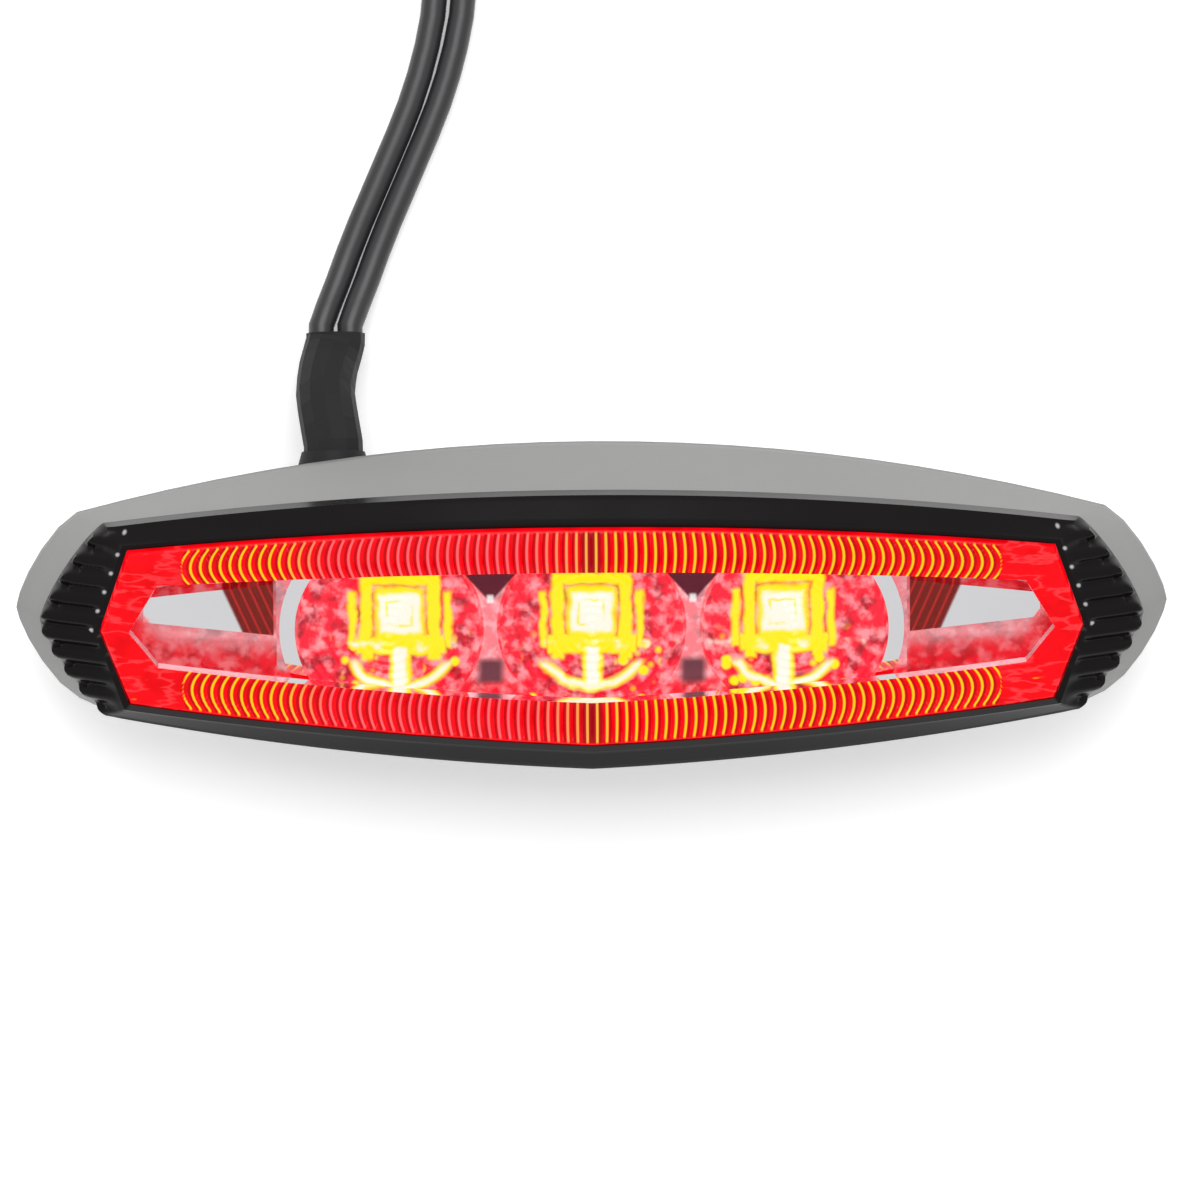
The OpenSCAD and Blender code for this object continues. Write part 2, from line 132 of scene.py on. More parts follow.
rim = [f["width"] / 2, f["width"] / 2 - 6.2, f["height"] / 2, f["cornerHeight"] / 2,
       f["height"] / 2, f["cornerHeight"] / 2, 0.2, 1.3, 0.75]
bezelLine = [rim[0] - 2.5, rim[1] - 2.9, rim[2] - 2.3, rim[3] + 0.7, rim[4] - 2.3, rim[5] - 0.2,
             0.45, 1.2, 0.8]
band = f["bezelBand"]
lensLine = [bezelLine[0] - f["bezelEnd"], bezelLine[1] - band + 0.4, bezelLine[2] - band,
            bezelLine[3] - band + 1.1, bezelLine[4] - band, bezelLine[5] - band + 1.1, 0.6, 1, 1]
red = f["redBand"]
windowLine = [lensLine[0] - f["redEnd"], lensLine[1] - f["redEnd"], lensLine[2] - red,
              lensLine[3] - red + 1.1, lensLine[4] - red, lensLine[5] - red + 0.6, 0.6, 1, 1]


def outlinePoint(shape, at):  # at runs round the outline once, from 0 to 2 * halfSteps
    under = at > halfSteps
    j = 2 * halfSteps - at if under else at
    mirrored = j > halfSteps / 2
    k = halfSteps - j if mirrored else j
    middle, corner, share = (shape[4], shape[5], shape[6]) if under else (shape[2], shape[3], 0)
    if k < endSteps:
        s = math.cos(math.pi / 2 * k / endSteps)
        u = shape[1] + (shape[0] - shape[1]) * s
        v = corner * max(0, 1 - s ** shape[7]) ** shape[8]
    else:
        q = 1 - 2 * (k - endSteps) / midSteps
        u = shape[1] * q
        v = middle - (middle - corner) * (share * abs(q) + (1 - share) * q * q)
    return (-u if mirrored else u), (-v if under else v)


def sag(u):
    return f["frontRadius"] - math.sqrt(f["frontRadius"] ** 2 - u * u)


def samplePlaces(endCount, midCount):  # positions round an outline, closer together at its ends
    half = [endSteps * i / endCount for i in range(endCount)]
    half += [endSteps + midSteps * i / midCount for i in range(midCount)]
    half += [halfSteps - endSteps + endSteps * i / endCount for i in range(endCount)]
    return half + [halfSteps + x for x in half]


def ringMesh(name, places, loops, shape=None):
    # loops are (outline, level) pairs round the section; shape may move each point
    points, flat = [], []
    for k, (line, level) in enumerate(loops):
        for at in places:
            u, v = outlinePoint(line, at)
            w = level - sag(u)
            if shape:
                u, v, w = shape(k, u, v, w, at)
            points.append(lensPoint(u, v, w))
            flat.append((u, v))
    n, count = len(places), len(loops)
    faces = [(a * n + i, a * n + (i + 1) % n, (a + 1) % count * n + (i + 1) % n, (a + 1) % count * n + i)
             for a in range(count) for i in range(n)]
    return closedObject(name, points, faces, flat)


def closedObject(name, points, faces, flat, smoothAngle=40):
    mesh = bpy.data.meshes.new(name)
    mesh.from_pydata(points, [], faces)
    layer = mesh.uv_layers.new(name="flat")
    for loop in mesh.loops:
        layer.data[loop.index].uv = flat[loop.vertex_index]
    piece = bpy.data.objects.new(name, mesh)
    bpy.context.collection.objects.link(piece)
    edit = bmesh.new()
    edit.from_mesh(mesh)
    bmesh.ops.recalc_face_normals(edit, faces=edit.faces)
    edit.to_mesh(mesh)
    edit.free()
    selectOnly(piece)
    bpy.ops.object.shade_smooth_by_angle(angle=math.radians(smoothAngle))
    return piece


def selectOnly(piece):
    bpy.ops.object.select_all(action="DESELECT")
    piece.select_set(True)
    bpy.context.view_layer.objects.active = piece


def standFor(piece, node, material):
    piece.data.materials.clear()
    piece.data.materials.append(material)
    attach(piece, body)
    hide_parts(node)
    return piece


def smoothCopy(node, name, material, angle=32):  # a merged, smooth-shaded stand-in for a CAD node
    source = frame["nodes"][node]
    piece = source.copy()
    piece.data = source.data.copy()
    piece.name = name
    piece.parent = None
    bpy.context.collection.objects.link(piece)
    edit = bmesh.new()
    edit.from_mesh(piece.data)
    bmesh.ops.remove_doubles(edit, verts=edit.verts, dist=1e-6)
    bmesh.ops.recalc_face_normals(edit, faces=edit.faces)
    edit.to_mesh(piece.data)
    edit.free()
    selectOnly(piece)
    bpy.ops.object.shade_smooth_by_angle(angle=math.radians(angle))
    return standFor(piece, node, material)


# ---- material helpers
def surfaceGroup():  # mottled colour, roughness and height for every plain finish
    group = bpy.data.node_groups.new("surfaceWear", "ShaderNodeTree")
    face = group.interface
    for label, kind in (("Color", "NodeSocketColor"), ("Scale", "NodeSocketFloat"),
                        ("Variation", "NodeSocketFloat"), ("Roughness", "NodeSocketFloat")):
        face.new_socket(name=label, in_out="INPUT", socket_type=kind)
    for label, kind in (("Color", "NodeSocketColor"), ("Roughness", "NodeSocketFloat"),
                        ("Height", "NodeSocketFloat")):
        face.new_socket(name=label, in_out="OUTPUT", socket_type=kind)
    nodes, links = group.nodes, group.links
    inside, outside = nodes.new("NodeGroupInput"), nodes.new("NodeGroupOutput")
    place = nodes.new("ShaderNodeTexCoord")
    fine, broad = nodes.new("ShaderNodeTexNoise"), nodes.new("ShaderNodeTexNoise")
    broad.inputs["Scale"].default_value = 60
    fine.inputs["Detail"].default_value = 4
    for noise in (fine, broad):
        links.new(place.outputs["Object"], noise.inputs["Vector"])
    links.new(inside.outputs["Scale"], fine.inputs["Scale"])
    swing = nodes.new("ShaderNodeMath")
    swing.operation = "MULTIPLY_ADD"
    swing.inputs[2].default_value = 1
    links.new(inside.outputs["Variation"], swing.inputs[1])
    offset = nodes.new("ShaderNodeMath")
    offset.operation = "SUBTRACT"
    offset.inputs[1].default_value = 0.5
    links.new(broad.outputs["Fac"], offset.inputs[0])
    links.new(offset.outputs[0], swing.inputs[0])
    tint = nodes.new("ShaderNodeVectorMath")
    tint.operation = "SCALE"
    links.new(inside.outputs["Color"], tint.inputs[0])
    links.new(swing.outputs[0], tint.inputs["Scale"])
    links.new(tint.outputs[0], outside.inputs["Color"])
    rough = nodes.new("ShaderNodeMath")
    rough.operation = "MULTIPLY_ADD"
    rough.inputs[1].default_value = 0.18
    links.new(offset.outputs[0], rough.inputs[0])
    links.new(inside.outputs["Roughness"], rough.inputs[2])
    links.new(rough.outputs[0], outside.inputs["Roughness"])
    links.new(fine.outputs["Fac"], outside.inputs["Height"])
    return group


wear = surfaceGroup()


def finish(name, color, rough, metal=0, grain=2500, bump=0.15, variation=0.3, specular=0.5, glass=0,
           glow=None):
    material = bpy.data.materials.new(name)
    material.use_nodes = True
    nodes, links = material.node_tree.nodes, material.node_tree.links
    shader = nodes["Principled BSDF"]
    group = nodes.new("ShaderNodeGroup")
    group.node_tree = wear
    group.inputs["Color"].default_value = (*color, 1)
    group.inputs["Scale"].default_value = grain
    group.inputs["Variation"].default_value = variation
    group.inputs["Roughness"].default_value = rough
    links.new(group.outputs["Color"], shader.inputs["Base Color"])
    links.new(group.outputs["Roughness"], shader.inputs["Roughness"])
    relief = nodes.new("ShaderNodeBump")
    relief.inputs["Strength"].default_value = bump
    relief.inputs["Distance"].default_value = 0.0001
    links.new(group.outputs["Height"], relief.inputs["Height"])
    links.new(relief.outputs[0], shader.inputs["Normal"])
    shader.inputs["Metallic"].default_value = metal
    shader.inputs["Specular IOR Level"].default_value = specular
    shader.inputs["Transmission Weight"].default_value = glass
    if glow:
        shader.inputs["Emission Color"].default_value = (*glow[0], 1)
        shader.inputs["Emission Strength"].default_value = glow[1]
    return material


finishes = {
    # the housing's grey base colour paints the lit sheen on its black plastic
    "housing_black": finish("mattHousingPaintedSheen", (0.24, 0.24, 0.235), 0.6, grain=3000, bump=0.3, variation=0.2),
    "bezel_black": finish("glossBezel", (0.006, 0.005, 0.005), 0.22, bump=0.04, specular=0.1),
    "rubber": finish("softRubber", (0.012, 0.012, 0.012), 0.6, bump=0.25, specular=0.2),
    "wire_black": finish("wireCover", (0.022, 0.022, 0.024), 0.38, bump=0.1),
    "component_dark": finish("darkEpoxy", (0.04, 0.04, 0.045), 0.45),
    "component_tan": finish("tanLacquer", (0.55, 0.42, 0.24), 0.4),
    "steel": finish("zincSteel", (0.66, 0.66, 0.68), 0.3, metal=1, grain=4000),
    "aluminium": finish("plainAluminium", (0.76, 0.77, 0.78), 0.35, metal=1, grain=4000),
    "brass": finish("machinedBrass", (0.72, 0.52, 0.22), 0.28, metal=1, grain=4000),
    "chrome_tray": finish("metallised", (0.86, 0.86, 0.88), 0.08, metal=1, grain=900, bump=0.05,
                          variation=0.15),
    "board_white": finish("whiteBoard", (0.8, 0.8, 0.78), 0.5),
    "board_green": finish("greenBoard", (0.04, 0.22, 0.09), 0.4),
    "led_package": finish("diodePackage", (0.95, 0.85, 0.4), 0.3, glow=((1, 0.75, 0.25), 3)),
    "lens_clear": finish("clearWindow", (1, 1, 1), 0.03, grain=400, bump=0.02, variation=0, glass=1),
    "optic_clear": finish("clearOptic", (1, 1, 1), 0.03, grain=400, bump=0.02, variation=0, glass=1),
}
finishes["lens_clear"].node_tree.nodes["Principled BSDF"].inputs["IOR"].default_value = 1.06


def calc(tree, operation, first, second=None, third=None):
    node = tree.nodes.new("ShaderNodeMath")
    node.operation = operation
    for i, value in enumerate((first, second, third)):
        if value is None:
            continue
        if isinstance(value, (int, float)):
            node.inputs[i].default_value = value
        else:
            tree.links.new(value, node.inputs[i])
    return node.outputs[0]


def offBy(tree, value, middle):  # how far a value is from a middle
    return calc(tree, "ABSOLUTE", calc(tree, "SUBTRACT", value, middle))


def distance(tree, x, y):
    return calc(tree, "SQRT", calc(tree, "ADD", calc(tree, "MULTIPLY", x, x), calc(tree, "MULTIPLY", y, y)))


def step(tree, value, low, high):
    node = tree.nodes.new("ShaderNodeMapRange")
    node.interpolation_type = "SMOOTHSTEP"
    node.inputs["From Min"].default_value = low
    node.inputs["From Max"].default_value = high
    tree.links.new(value, node.inputs["Value"])
    return node.outputs["Result"]


def blendColor(tree, share, first, second):
    node = tree.nodes.new("ShaderNodeMix")
    node.data_type = "RGBA"
    tree.links.new(share, node.inputs[0])
    for socket, value in ((node.inputs[6], first), (node.inputs[7], second)):
        if isinstance(value, tuple):
            socket.default_value = (*value, 1)
        else:
            tree.links.new(value, socket)
    return node.outputs[2]


def flatCoords(tree):
    uv = tree.nodes.new("ShaderNodeUVMap")
    uv.uv_map = "flat"
    split = tree.nodes.new("ShaderNodeSeparateXYZ")
    tree.links.new(uv.outputs[0], split.inputs[0])
    return uv.outputs[0], split.outputs[0], split.outputs[1]


fluteFacts = {"pitch": 0.97, "depth": 0.3, "bow": 0.9, "bowFrom": 44, "end": 40.9,
              "lineAt": 0.5, "grooveAt": 0.82, "leftYellow": (-26, -32), "rightYellow": (-8, 5)}
trayFacts = {"gapAt": 10.15, "shadePatchDown": 4.6, "glintUp": 2.9}  # painted shade and painted glints between the optics, in mm
wingFacts = {"redFrom": 35.5, "fade": 0.4, "slant": -0.45}


def groundGroup():  # mottled dark red, red and pink, as the lit tray looks through the window
    group = bpy.data.node_groups.new("litGround", "ShaderNodeTree")
    group.interface.new_socket(name="Vector", in_out="INPUT", socket_type="NodeSocketVector")
    group.interface.new_socket(name="Color", in_out="OUTPUT", socket_type="NodeSocketColor")
    inside, outside = group.nodes.new("NodeGroupInput"), group.nodes.new("NodeGroupOutput")
    masks = []
    for scale, low, high in ((0.42, 0.34, 0.54), (0.75, 0.42, 0.72)):
        noise = group.nodes.new("ShaderNodeTexNoise")
        noise.inputs["Scale"].default_value = scale
        noise.inputs["Detail"].default_value = 2.5
        group.links.new(inside.outputs["Vector"], noise.inputs["Vector"])
        masks.append(step(group, noise.outputs["Fac"], low, high))
    deep = blendColor(group, masks[0], (0.3, 0.012, 0.024), (0.95, 0.015, 0.04))
    group.links.new(blendColor(group, masks[1], deep, (1, 0.34, 0.38)), outside.inputs["Color"])
    return group


litGround = groundGroup()


def groundColor(tree, place):
    node = tree.nodes.new("ShaderNodeGroup")
    node.node_tree = litGround
    tree.links.new(place, node.inputs["Vector"])
    return node.outputs["Color"]


def lensCoords(tree):  # the lens frame's u and v, in mm, for a piece that has no flat layer
    place = tree.nodes.new("ShaderNodeTexCoord")
    split = tree.nodes.new("ShaderNodeSeparateXYZ")
    join = tree.nodes.new("ShaderNodeCombineXYZ")
    tree.links.new(place.outputs["Object"], split.inputs[0])
    u = calc(tree, "MULTIPLY", split.outputs[0], 1 / mm)
    rise = calc(tree, "SUBTRACT", split.outputs[2], f["rise"] * mm)
    v = calc(tree, "MULTIPLY_ADD", split.outputs[1], math.cos(leanAngle) / mm,
             calc(tree, "MULTIPLY", rise, math.sin(leanAngle) / mm))
    tree.links.new(u, join.inputs[0])
    tree.links.new(v, join.inputs[1])
    return join.outputs[0], u, v


def trayMaterial():
    # the pink metal tint and the emission paint the LED light that the chrome tray reflects
    material = finish("litTray", (0.5, 0.34, 0.36), 0.25, metal=1, grain=900, bump=0.05)
    tree = material.node_tree
    shader = tree.nodes["Principled BSDF"]
    place, u, v = lensCoords(tree)
    across = calc(tree, "ABSOLUTE", u)
    off = offBy(tree, across, trayFacts["gapAt"])
    # painted shade: a dark wedge between the optics
    shadeWedge = step(tree, calc(tree, "SUBTRACT", calc(tree, "MULTIPLY_ADD", v, 0.9, -2.2), off), -0.1, 0.3)
    spot = offBy(tree, v, -trayFacts["shadePatchDown"])
    # painted shade: a dim patch below each gap
    shadePatch = calc(tree, "MULTIPLY", step(tree, off, 1.9, 0.7), step(tree, spot, 1.8, 0.8))
    color = blendColor(tree, shadeWedge, groundColor(tree, place), (0.07, 0.008, 0.014))
    color = blendColor(tree, shadePatch, color, (0.13, 0.05, 0.06))
    metal = blendColor(tree, calc(tree, "MAXIMUM", shadeWedge, shadePatch), (0.5, 0.3, 0.32), (0.09, 0.02, 0.03))
    tree.links.new(metal, shader.inputs["Base Color"])
    # painted highlight: white glints beside each gap
    glint = calc(tree, "MULTIPLY", step(tree, off, 0.5, 0.15),
                 step(tree, offBy(tree, v, trayFacts["glintUp"]), 0.6, 0.2))
    tree.links.new(blendColor(tree, glint, color, (1, 0.95, 0.95)), shader.inputs["Emission Color"])
    # painted glow, brighter towards the middle
    tree.links.new(calc(tree, "MULTIPLY_ADD", step(tree, across, 33, 27), 0.4, 0.4),
                   shader.inputs["Emission Strength"])
    return material


def wingMaterial():  # bright metal, with a red reflection on the inner end
    material = finish("metallisedWing", (0.86, 0.86, 0.88), 0.1, metal=1, grain=900, bump=0.05,
                      variation=0.15)
    tree = material.node_tree
    shader = tree.nodes["Principled BSDF"]
    u, v = lensCoords(tree)[1:]
    edge = calc(tree, "MULTIPLY_ADD", v, wingFacts["slant"], calc(tree, "ABSOLUTE", u))
    share = step(tree, edge, wingFacts["redFrom"], wingFacts["redFrom"] - wingFacts["fade"])
    stripes = step(tree, offBy(tree, calc(tree, "FRACT", edge), 0.5), 0.2, 0.05)
    wornColor = shader.inputs["Base Color"].links[0].from_socket
    tree.links.new(blendColor(tree, share, wornColor, (0.22, 0.03, 0.025)), shader.inputs["Base Color"])
    shader.inputs["Emission Color"].default_value = (0.7, 0.02, 0.02, 1)
    tree.links.new(calc(tree, "MULTIPLY", share, calc(tree, "MULTIPLY_ADD", stripes, 0.35, 0.05)),
                   shader.inputs["Emission Strength"])
    return material


def redLensMaterial():
    # the emission paints the LED light glowing through the red lens: painted highlight lines along the
    # flutes, painted shade in the grooves and a patchy red glow
    material = finish("flutedRed", (0.2, 0, 0.001), 0.14, bump=0.03, specular=0.12)
    tree = material.node_tree
    shader = tree.nodes["Principled BSDF"]
    uv, u = flatCoords(tree)[:2]
    second = tree.nodes.new("ShaderNodeUVMap")
    second.uv_map = "flute"
    parts = tree.nodes.new("ShaderNodeSeparateXYZ")
    tree.links.new(second.outputs[0], parts.inputs[0])
    phase, inBand = parts.outputs[0], parts.outputs[1]
    beat = calc(tree, "FRACT", phase)
    line = calc(tree, "MULTIPLY", step(tree, offBy(tree, beat, fluteFacts["lineAt"]), 0.19, 0.05), inBand)
    # painted shade in the flute grooves
    groove = calc(tree, "MULTIPLY", step(tree, offBy(tree, beat, fluteFacts["grooveAt"]), 0.2, 0.06), inBand)
    bright = calc(tree, "MAXIMUM", step(tree, u, *fluteFacts["leftYellow"]),
                  step(tree, u, *fluteFacts["rightYellow"]))  # where the painted highlight lines read yellow
    patchy = tree.nodes.new("ShaderNodeTexNoise")
    patchy.inputs["Scale"].default_value = 0.3
    tree.links.new(uv, patchy.inputs["Vector"])
    patches = step(tree, patchy.outputs["Fac"], 0.3, 0.65)
    ground = blendColor(tree, patches, (0.7, 0, 0.003), (1, 0.002, 0.008))
    ground = blendColor(tree, groove, ground, (0.36, 0.001, 0.004))
    middle = calc(tree, "MULTIPLY", step(tree, calc(tree, "ABSOLUTE", u), 1.6, 0.4), inBand)
    ground = blendColor(tree, middle, ground, (0.22, 0.004, 0.008))
    plain = step(tree, calc(tree, "ABSOLUTE", u), fluteFacts["end"] - 1, fluteFacts["end"] + 1.5)
    streak = tree.nodes.new("ShaderNodeTexNoise")  # painted pink light streaks and painted yellow glints in the plain ends
    streak.inputs["Scale"].default_value = 0.55
    streak.inputs["Detail"].default_value = 3
    longer = tree.nodes.new("ShaderNodeVectorMath")
    longer.operation = "MULTIPLY"
    longer.inputs[1].default_value = (0.3, 1, 1)
    tree.links.new(uv, longer.inputs[0])
    tree.links.new(longer.outputs[0], streak.inputs["Vector"])
    pink = calc(tree, "MULTIPLY", plain, step(tree, offBy(tree, streak.outputs["Fac"], 0.5), 0.045, 0))
    ground = blendColor(tree, pink, ground, (1, 0.045, 0.055))
    glint = calc(tree, "MULTIPLY", plain, step(tree, streak.outputs["Fac"], 0.66, 0.74))
    ground = blendColor(tree, glint, ground, (1, 0.55, 0.01))
    fluteHighlightColor = blendColor(tree, bright, (1, 0.17, 0.19), (1, 0.74, 0.01))
    tree.links.new(blendColor(tree, line, ground, fluteHighlightColor), shader.inputs["Emission Color"])
    shader.inputs["Emission Strength"].default_value = 0.9
    return material


# ---- red lens: real flutes in both bands, plain ends
def redLensPiece():
    places = samplePlaces(60, 1500)
    edge = [(lensLine, f["ledge"] + f["gasket"]), (lensLine, f["lensTop"] - 0.3),
            (inset(lensLine, 0.15), f["lensTop"] - 0.08)]
    across = 8
    steps = [i / across for i in range(across + 1)]
    fronts = []
    for t in steps:
        line = [a + (b - a) * t for a, b in zip(inset(lensLine, 0.4), windowLine)]
        line[6] = 0.6
        fronts.append((line, f["lensTop"]))
    under = f["lensTop"] - f["lensThick"]
    back = [(windowLine, under), (inset(lensLine, f["skirt"]), under),
            (inset(lensLine, f["skirt"]), f["ledge"] + f["gasket"])]
    first = len(edge)

    def phaseAt(u, t):
        bow = fluteFacts["bow"] * min(1, abs(u) / fluteFacts["bowFrom"]) * (1 - (2 * t - 1) ** 2)
        return (abs(u) - bow) / fluteFacts["pitch"]

    def flute(k, u, v, w, at):
        t = (k - first) / across
        if not 0 < t < 1:
            return u, v, w
        fade = min(1, t * 8, (1 - t) * 8) * min(1, max(0, fluteFacts["end"] - abs(u)))
        groove = abs(math.sin(math.pi * (phaseAt(u, t) % 1)))
        return u, v, w - fluteFacts["depth"] * fade * (1 - groove)

    piece = ringMesh("red_lens_fluted", places, edge + fronts + back, flute)
    mesh = piece.data
    n = len(places)
    layer = mesh.uv_layers.new(name="flute")
    flat = mesh.uv_layers["flat"].data
    for loop in mesh.loops:
        k = loop.vertex_index // n
        t = min(1, max(0, (k - first) / across))
        u = flat[loop.index].uv[0]
        band = 1 if first <= k < first + len(fronts) and abs(u) < fluteFacts["end"] else 0
        layer.data[loop.index].uv = (phaseAt(u, t), band)
    return standFor(piece, "red_lens", redLensMaterial())


redLensPiece()
print("stage: red lens done")

# ---- bezel with scalloped ends
ribFacts = {"pitch": 2.0, "depth": 0.55, "dotOut": 1.0}


def bezelMaterial():  # gloss black, with a point of light at the inner end of each upper rib
    material = finish("ribbedBezel", (0.006, 0.005, 0.005), 0.22, bump=0.04, specular=0.1)
    tree = material.node_tree
    u, v = flatCoords(tree)[1:]
    slope = (lensLine[0] - lensLine[1]) / lensLine[3]
    out = calc(tree, "MULTIPLY_ADD", calc(tree, "ABSOLUTE", v), slope, calc(tree, "ABSOLUTE", u))
    out = calc(tree, "SUBTRACT", out, lensLine[0] + ribFacts["dotOut"])
    beat = calc(tree, "FRACT", calc(tree, "MULTIPLY_ADD", v, 1 / ribFacts["pitch"], 0.5))
    beat = calc(tree, "SUBTRACT", beat, 0.5)
    side = calc(tree, "MULTIPLY", beat, ribFacts["pitch"])
    dot = calc(tree, "MULTIPLY", step(tree, distance(tree, out, side), 0.3, 0.06), step(tree, v, -0.9, -0.4))
    shader = tree.nodes["Principled BSDF"]
    shader.inputs["Emission Color"].default_value = (1, 0.95, 1, 1)
    tree.links.new(calc(tree, "MULTIPLY", dot, 0.5), shader.inputs["Emission Strength"])
    return material



def bezelPiece():
    places = samplePlaces(150, 180)
    top = f["lensTop"] - f["bezelDrop"]
    inner = inset(lensLine, -0.15)
    loops = [(bezelLine, f["ledge"] + 0.08), (bezelLine, top - 0.25), (inset(bezelLine, 0.25), top)]
    across = 10
    for i in range(1, across):
        t = i / across
        line = [a + (b - a) * t for a, b in zip(inset(bezelLine, 0.25), inset(inner, -0.5))]
        line[6] = bezelLine[6] + (0.6 - bezelLine[6]) * t
        loops.append((line, top + (f["lensTop"] - 0.25 - top) * t))
    loops += [(inset(inner, -0.5), f["lensTop"] - 0.2), (inner, f["lensTop"] - 0.45),
              (inner, f["ledge"] + 0.08)]
    last = len(loops)

    def rib(k, u, v, w, at):
        if k == 0 or k >= last - 2:
            return u, v, w
        outside = min(1, max(0, (abs(u) - lensLine[1] - 1.2) / 1.5))  # ribs start beside the lens
        valley = abs(math.cos(math.pi * v / ribFacts["pitch"])) ** 3
        fade = 1 if k < 3 else min(1, (last - k) / 5)
        cut = ribFacts["depth"] * outside * valley * fade
        return u - math.copysign(cut * 0.8, u) * (k < 4), v, w - cut

    piece = ringMesh("bezel_ribbed", places, loops, rib)
    return standFor(piece, "front_bezel", bezelMaterial())


bezelPiece()


# ---- clear window and optics
def plugMesh(name, places, line, low, high):
    half = len(places) // 2
    points, flat = [], []
    for level in (low, high):
        for at in places:
            u, v = outlinePoint(line, at)
            points.append(lensPoint(u, v, level - sag(u)))
            flat.append((u, v))
    n = len(places)
    faces = [(i, (i + 1) % n, n + (i + 1) % n, n + i) for i in range(n)]
    for base in (0, n):
        for j in range(half):
            quad = [base + j, base + j + 1, base + (n - j - 1) % n, base + (n - j) % n]
            faces.append(tuple(dict.fromkeys(quad)))
    return closedObject(name, points, faces, flat)


window = plugMesh("window_clear", samplePlaces(24, 120), inset(windowLine, 0.02),
                  f["lensTop"] - f["lensThick"], f["lensTop"])
standFor(window, "clear_window", finishes["lens_clear"])

opticFacts = {"floor": 5.9, "top": 11.2, "stem": 4, "flat": 7.2, "rings": 22, "around": 120,
              "coreUp": 1.7, "inward": 1.1, "wobble": 0.9, "smile": 5.7}


def opticMaterial(index):
    material = finish("litOptic%d" % (index + 2), (0.2, 0.004, 0.008), 0.1, bump=0.03, specular=0.25)
    tree = material.node_tree
    shader = tree.nodes["Principled BSDF"]
    uv, u, v = flatCoords(tree)
    warp = tree.nodes.new("ShaderNodeTexNoise")
    warp.inputs["Scale"].default_value = 0.5
    tree.links.new(uv, warp.inputs["Vector"])
    o = opticFacts
    wobble = calc(tree, "MULTIPLY", calc(tree, "SUBTRACT", warp.outputs["Fac"], 0.5), o["wobble"])
    x = calc(tree, "ADD", calc(tree, "SUBTRACT", u, index * (f["ledPitch"] - o["inward"])), wobble)
    y = calc(tree, "ADD", calc(tree, "SUBTRACT", v, o["coreUp"]), wobble)
    side = calc(tree, "ABSOLUTE", x)

    def bar(value, middle, half, soft=0.35):  # 1 within half of middle, fading outside it
        return step(tree, offBy(tree, value, middle), half + soft, half - soft / 2)

    def both(*masks):
        return fold("MULTIPLY", masks)

    def either(*masks):
        return fold("MAXIMUM", masks)

    def fold(operation, masks):
        result = masks[0]
        for mask in masks[1:]:
            result = calc(tree, operation, result, mask)
        return result

    square = calc(tree, "MAXIMUM", side, calc(tree, "ABSOLUTE", y))
    ring = distance(tree, x, calc(tree, "ADD", y, 2))
    smile = both(bar(ring, o["smile"], 0.45), step(tree, y, -4.6, -5.6))
    uprights = both(bar(side, 3.4, 0.55), bar(y, -0.6, 4.2))
    outer = both(bar(side, 4.8, 0.3), bar(y, -0.7, 2.9))
    bars = either(both(bar(y, 3.5, 0.5), bar(x, 0, 3.9)), both(bar(y, -3.3, 0.9), bar(x, 0, 4.4)))
    stem = both(bar(x, 0, 1.0), bar(y, -5.6, 1.9))
    cells = tree.nodes.new("ShaderNodeTexVoronoi")
    cells.inputs["Scale"].default_value = 0.6
    tree.links.new(uv, cells.inputs["Vector"])
    blobs = both(step(tree, cells.outputs["Distance"], 0.42, 0.22), bar(side, 4.6, 2.2),
                 step(tree, y, -1, -4))
    halo = both(step(tree, square, 3.1, 2.4), step(tree, side, 3.2, 2))
    yellow = either(uprights, outer, bars, stem, blobs, smile, halo)
    line = both(bar(square, 1.25, 0.08, 0.2), step(tree, wobble, -0.1, 0.1))
    white = either(step(tree, square, 2.3, 1.7), both(stem, bar(x, 0, 0.55)),
                   both(smile, bar(ring, o["smile"], 0.15)),
                   both(bar(y, -3.3, 0.4), step(tree, wobble, 0, 0.25)))
    color = blendColor(tree, yellow, groundColor(tree, uv), (1, 0.9, 0.01))
    color = blendColor(tree, white, color, (1, 1, 0.85))
    color = blendColor(tree, line, color, (1, 0.9, 0.1))
    tree.links.new(color, shader.inputs["Emission Color"])
    shader.inputs["Emission Strength"].default_value = 0.95
    return material


def opticPiece(index, label):
    centre = index * f["ledPitch"]
    o = opticFacts
    points, flat, faces = [], [], []
    profile = [(0.02, o["floor"])] + [(o["stem"] * i / 3, o["floor"]) for i in (1, 2, 3)]
    profile += [(f["opticRadius"] - 0.4, o["top"] - 0.9), (f["opticRadius"], o["top"] - 0.9),
                (f["opticRadius"], o["top"] - 0.1)]
    for i in range(o["rings"] + 1):  # stepped rings on the front, as on a moulded collimator
        radius = (f["opticRadius"] - 0.1) * (1 - i / (o["rings"] + 0.01)) + 0.02
        profile.append((radius, o["top"] - (0.22 if i % 2 else 0)))
    for radius, w in profile:
        for a in range(o["around"]):
            turn = 2 * math.pi * a / o["around"]
            x, y = radius * math.cos(turn), radius * math.sin(turn)
            y = max(-o["flat"], min(o["flat"], y))
            points.append(lensPoint(centre + x, y, w))
            flat.append((centre + x, y))
    n = o["around"]
    for k in range(len(profile) - 1):
        faces += [(k * n + i, k * n + (i + 1) % n, (k + 1) * n + (i + 1) % n, (k + 1) * n + i)
                  for i in range(n)]
    faces += [tuple(range(n)), tuple(range((len(profile) - 1) * n, len(profile) * n))]
    piece = closedObject("optic_%s_stepped" % label, points, faces, flat, 25)
    standFor(piece, "optic_" + label, opticMaterial(index))


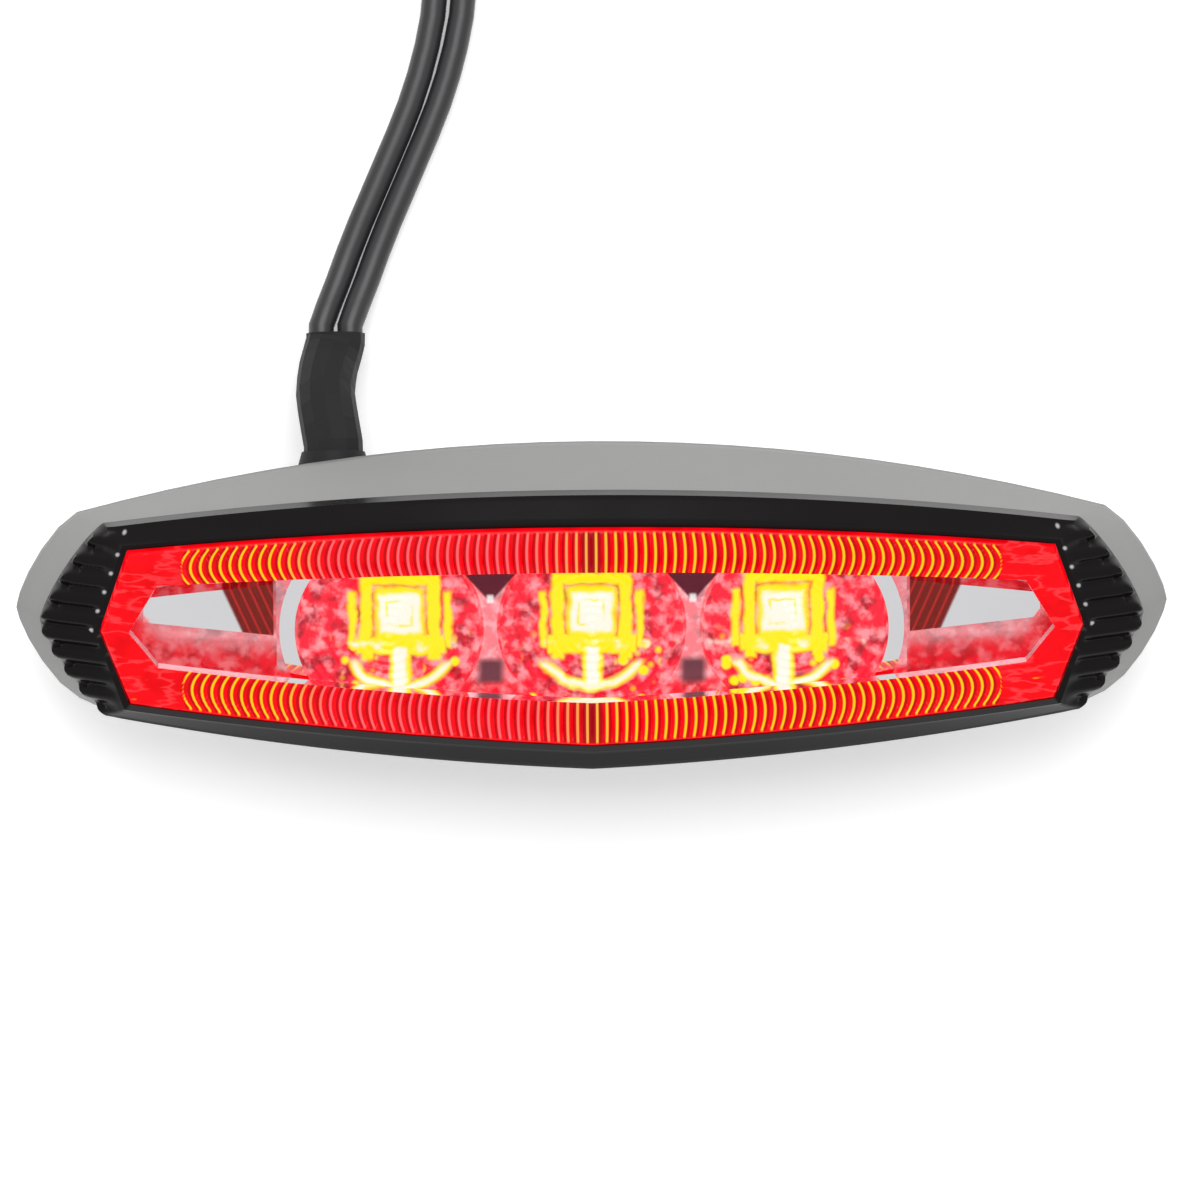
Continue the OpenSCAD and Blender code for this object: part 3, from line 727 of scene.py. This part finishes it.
for index, label in ((-1, "left"), (0, "centre"), (1, "right")):
    opticPiece(index, label)
print("stage: front pieces done")

smoothCopy("rear_housing", "housing_smooth", finishes["housing_black"])

# ---- plain nodes keep their shape and take the slot's finish
slots = {part["node"]: part["material_slot"] for part in frame["record"]["subparts"]}
special = {"reflector": trayMaterial()}
special["wing_left"] = special["wing_right"] = wingMaterial()
for node, piece in frame["nodes"].items():
    if slots[node] in finishes:
        piece.data.materials.clear()
        piece.data.materials.append(special.get(node, finishes[slots[node]]))
for wire in wires.values():
    wire.data.materials.append(finishes["wire_black"])
print("stage: finishes set")

# ---- floor and light
room = {"floor": 3.0, "floorColor": 0.86, "worldLevel": 0.75}


def makeFloor():
    bpy.ops.mesh.primitive_plane_add(size=room["floor"], location=(0, 0, -0.0002))
    floor = bpy.context.object
    floor.name = "floor"
    material = bpy.data.materials.new("paleFloor")
    material.use_nodes = True
    shader = material.node_tree.nodes["Principled BSDF"]
    shader.inputs["Base Color"].default_value = (*[room["floorColor"]] * 3, 1)
    shader.inputs["Roughness"].default_value = 0.9
    shader.inputs["Specular IOR Level"].default_value = 0
    shader.inputs["Emission Color"].default_value = (1, 1, 1, 1)
    tree = material.node_tree
    path = tree.nodes.new("ShaderNodeLightPath")
    seen = calc(tree, "MAXIMUM", path.outputs["Is Camera Ray"],
                calc(tree, "MAXIMUM", path.outputs["Is Glossy Ray"], path.outputs["Is Transmission Ray"]))
    tree.links.new(calc(tree, "MULTIPLY", seen, 0.3), shader.inputs["Emission Strength"])
    floor.data.materials.append(material)


makeFloor()
world = bpy.data.worlds.new("studio")
world.use_nodes = True
world.node_tree.nodes["Background"].inputs[0].default_value = (1, 1, 1, 1)
world.node_tree.nodes["Background"].inputs[1].default_value = room["worldLevel"]
bpy.context.scene.world = world
areaLight("overhead", (0, 0.25, 0.6), (math.radians(-20), 0, 0), 0.5, 3)
bpy.context.scene.view_settings.view_transform = "Standard"
print("stage: floor and light done")

bpy.context.view_layer.update()
